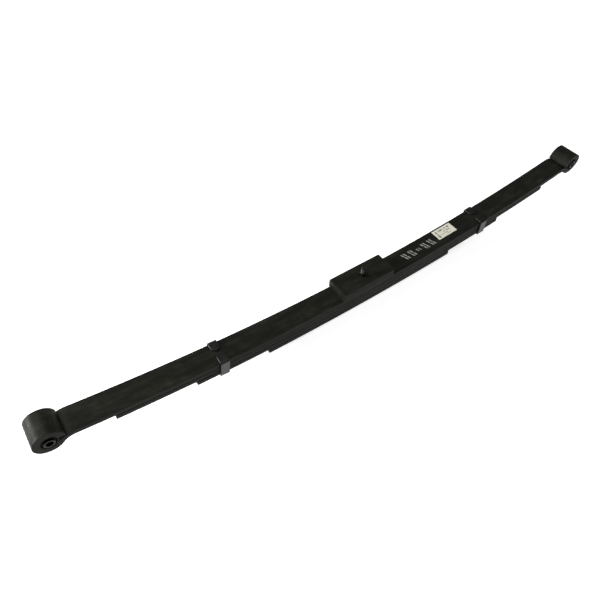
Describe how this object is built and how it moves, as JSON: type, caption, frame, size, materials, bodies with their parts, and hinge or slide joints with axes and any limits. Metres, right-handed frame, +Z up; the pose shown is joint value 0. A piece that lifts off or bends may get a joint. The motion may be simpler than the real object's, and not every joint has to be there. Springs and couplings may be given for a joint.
{
  "type": "leaf spring",
  "caption": "Semi-elliptic multi-leaf suspension spring with rolled Berlin eyes, bonded rubber bushes, rebound clips, seat packers and a through centre bolt.",
  "frame": {"origin": "on the centre bolt's axis, at the top of its dowel head, where the head meets the underside of the shortest leaf", "axes": "+X along the spring from the front eye to the rear eye, +Y across its width, +Z up, from the dowel head to the nut"},
  "size_m": [1.366, 0.0568, 0.1328],
  "materials": {
    "spring_steel_black": "satin black paint",
    "clip_black": "satin black paint",
    "bolt_black": "satin black paint over steel",
    "bush_shell_steel": "black oxide",
    "bush_rubber": "moulded rubber",
    "bush_sleeve_steel": "turned steel tube",
    "liner_plastic": "moulded",
    "label_paper": "printed paper"
  },
  "bodies": {
    "spring_pack": {"main_leaf": "spring_steel_black", "second_leaf": "spring_steel_black", "third_leaf": "spring_steel_black", "fourth_leaf": "spring_steel_black", "lower_packer": "spring_steel_black", "upper_packer": "spring_steel_black", "centre_bolt": "bolt_black", "centre_nut": "bolt_black", "front_clip": "clip_black", "rear_clip": "clip_black", "front_clip_rivet": "clip_black", "rear_clip_rivet": "clip_black", "front_liner_upper": "liner_plastic", "front_liner_middle": "liner_plastic", "front_liner_lower": "liner_plastic", "rear_liner_upper": "liner_plastic", "rear_liner_middle": "liner_plastic", "rear_liner_lower": "liner_plastic", "part_label": "label_paper"},
    "front_eye": {"front_bush_shell": "bush_shell_steel", "front_bush_rubber": "bush_rubber"},
    "front_sleeve": {"front_bush_sleeve": "bush_sleeve_steel"},
    "rear_eye": {"rear_bush_shell": "bush_shell_steel", "rear_bush_rubber": "bush_rubber"},
    "rear_sleeve": {"rear_bush_sleeve": "bush_sleeve_steel"}
  },
  "joints": [
    {"name": "rear_flex", "type": "hinge", "parent": "spring_pack", "child": "rear_eye", "pos_m": [0.215, 0, 0.04568], "axis": [0, 1, 0], "range_deg": [-2, 9], "stiffness_Nm_per_rad": 5400, "deforming": ["main_leaf"]},
    {"name": "front_flex", "type": "hinge", "parent": "spring_pack", "child": "front_eye", "pos_m": [-0.215, 0, 0.04568], "axis": [0, -1, 0], "range_deg": [-2, 9], "stiffness_Nm_per_rad": 5400},
    {"name": "front_bush_twist", "type": "hinge", "parent": "front_eye", "child": "front_sleeve", "pos_m": [-0.657, 0, 0.10076], "axis": [0, 1, 0], "range_deg": [-20, 20], "stiffness_Nm_per_rad": 20},
    {"name": "rear_bush_twist", "type": "hinge", "parent": "rear_eye", "child": "rear_sleeve", "pos_m": [0.657, 0, 0.10076], "axis": [0, 1, 0], "range_deg": [-20, 20], "stiffness_Nm_per_rad": 20}
  ],
  "couplings": [
    {"joint": "front_flex", "follows": "rear_flex", "ratio": 1}
  ]
}
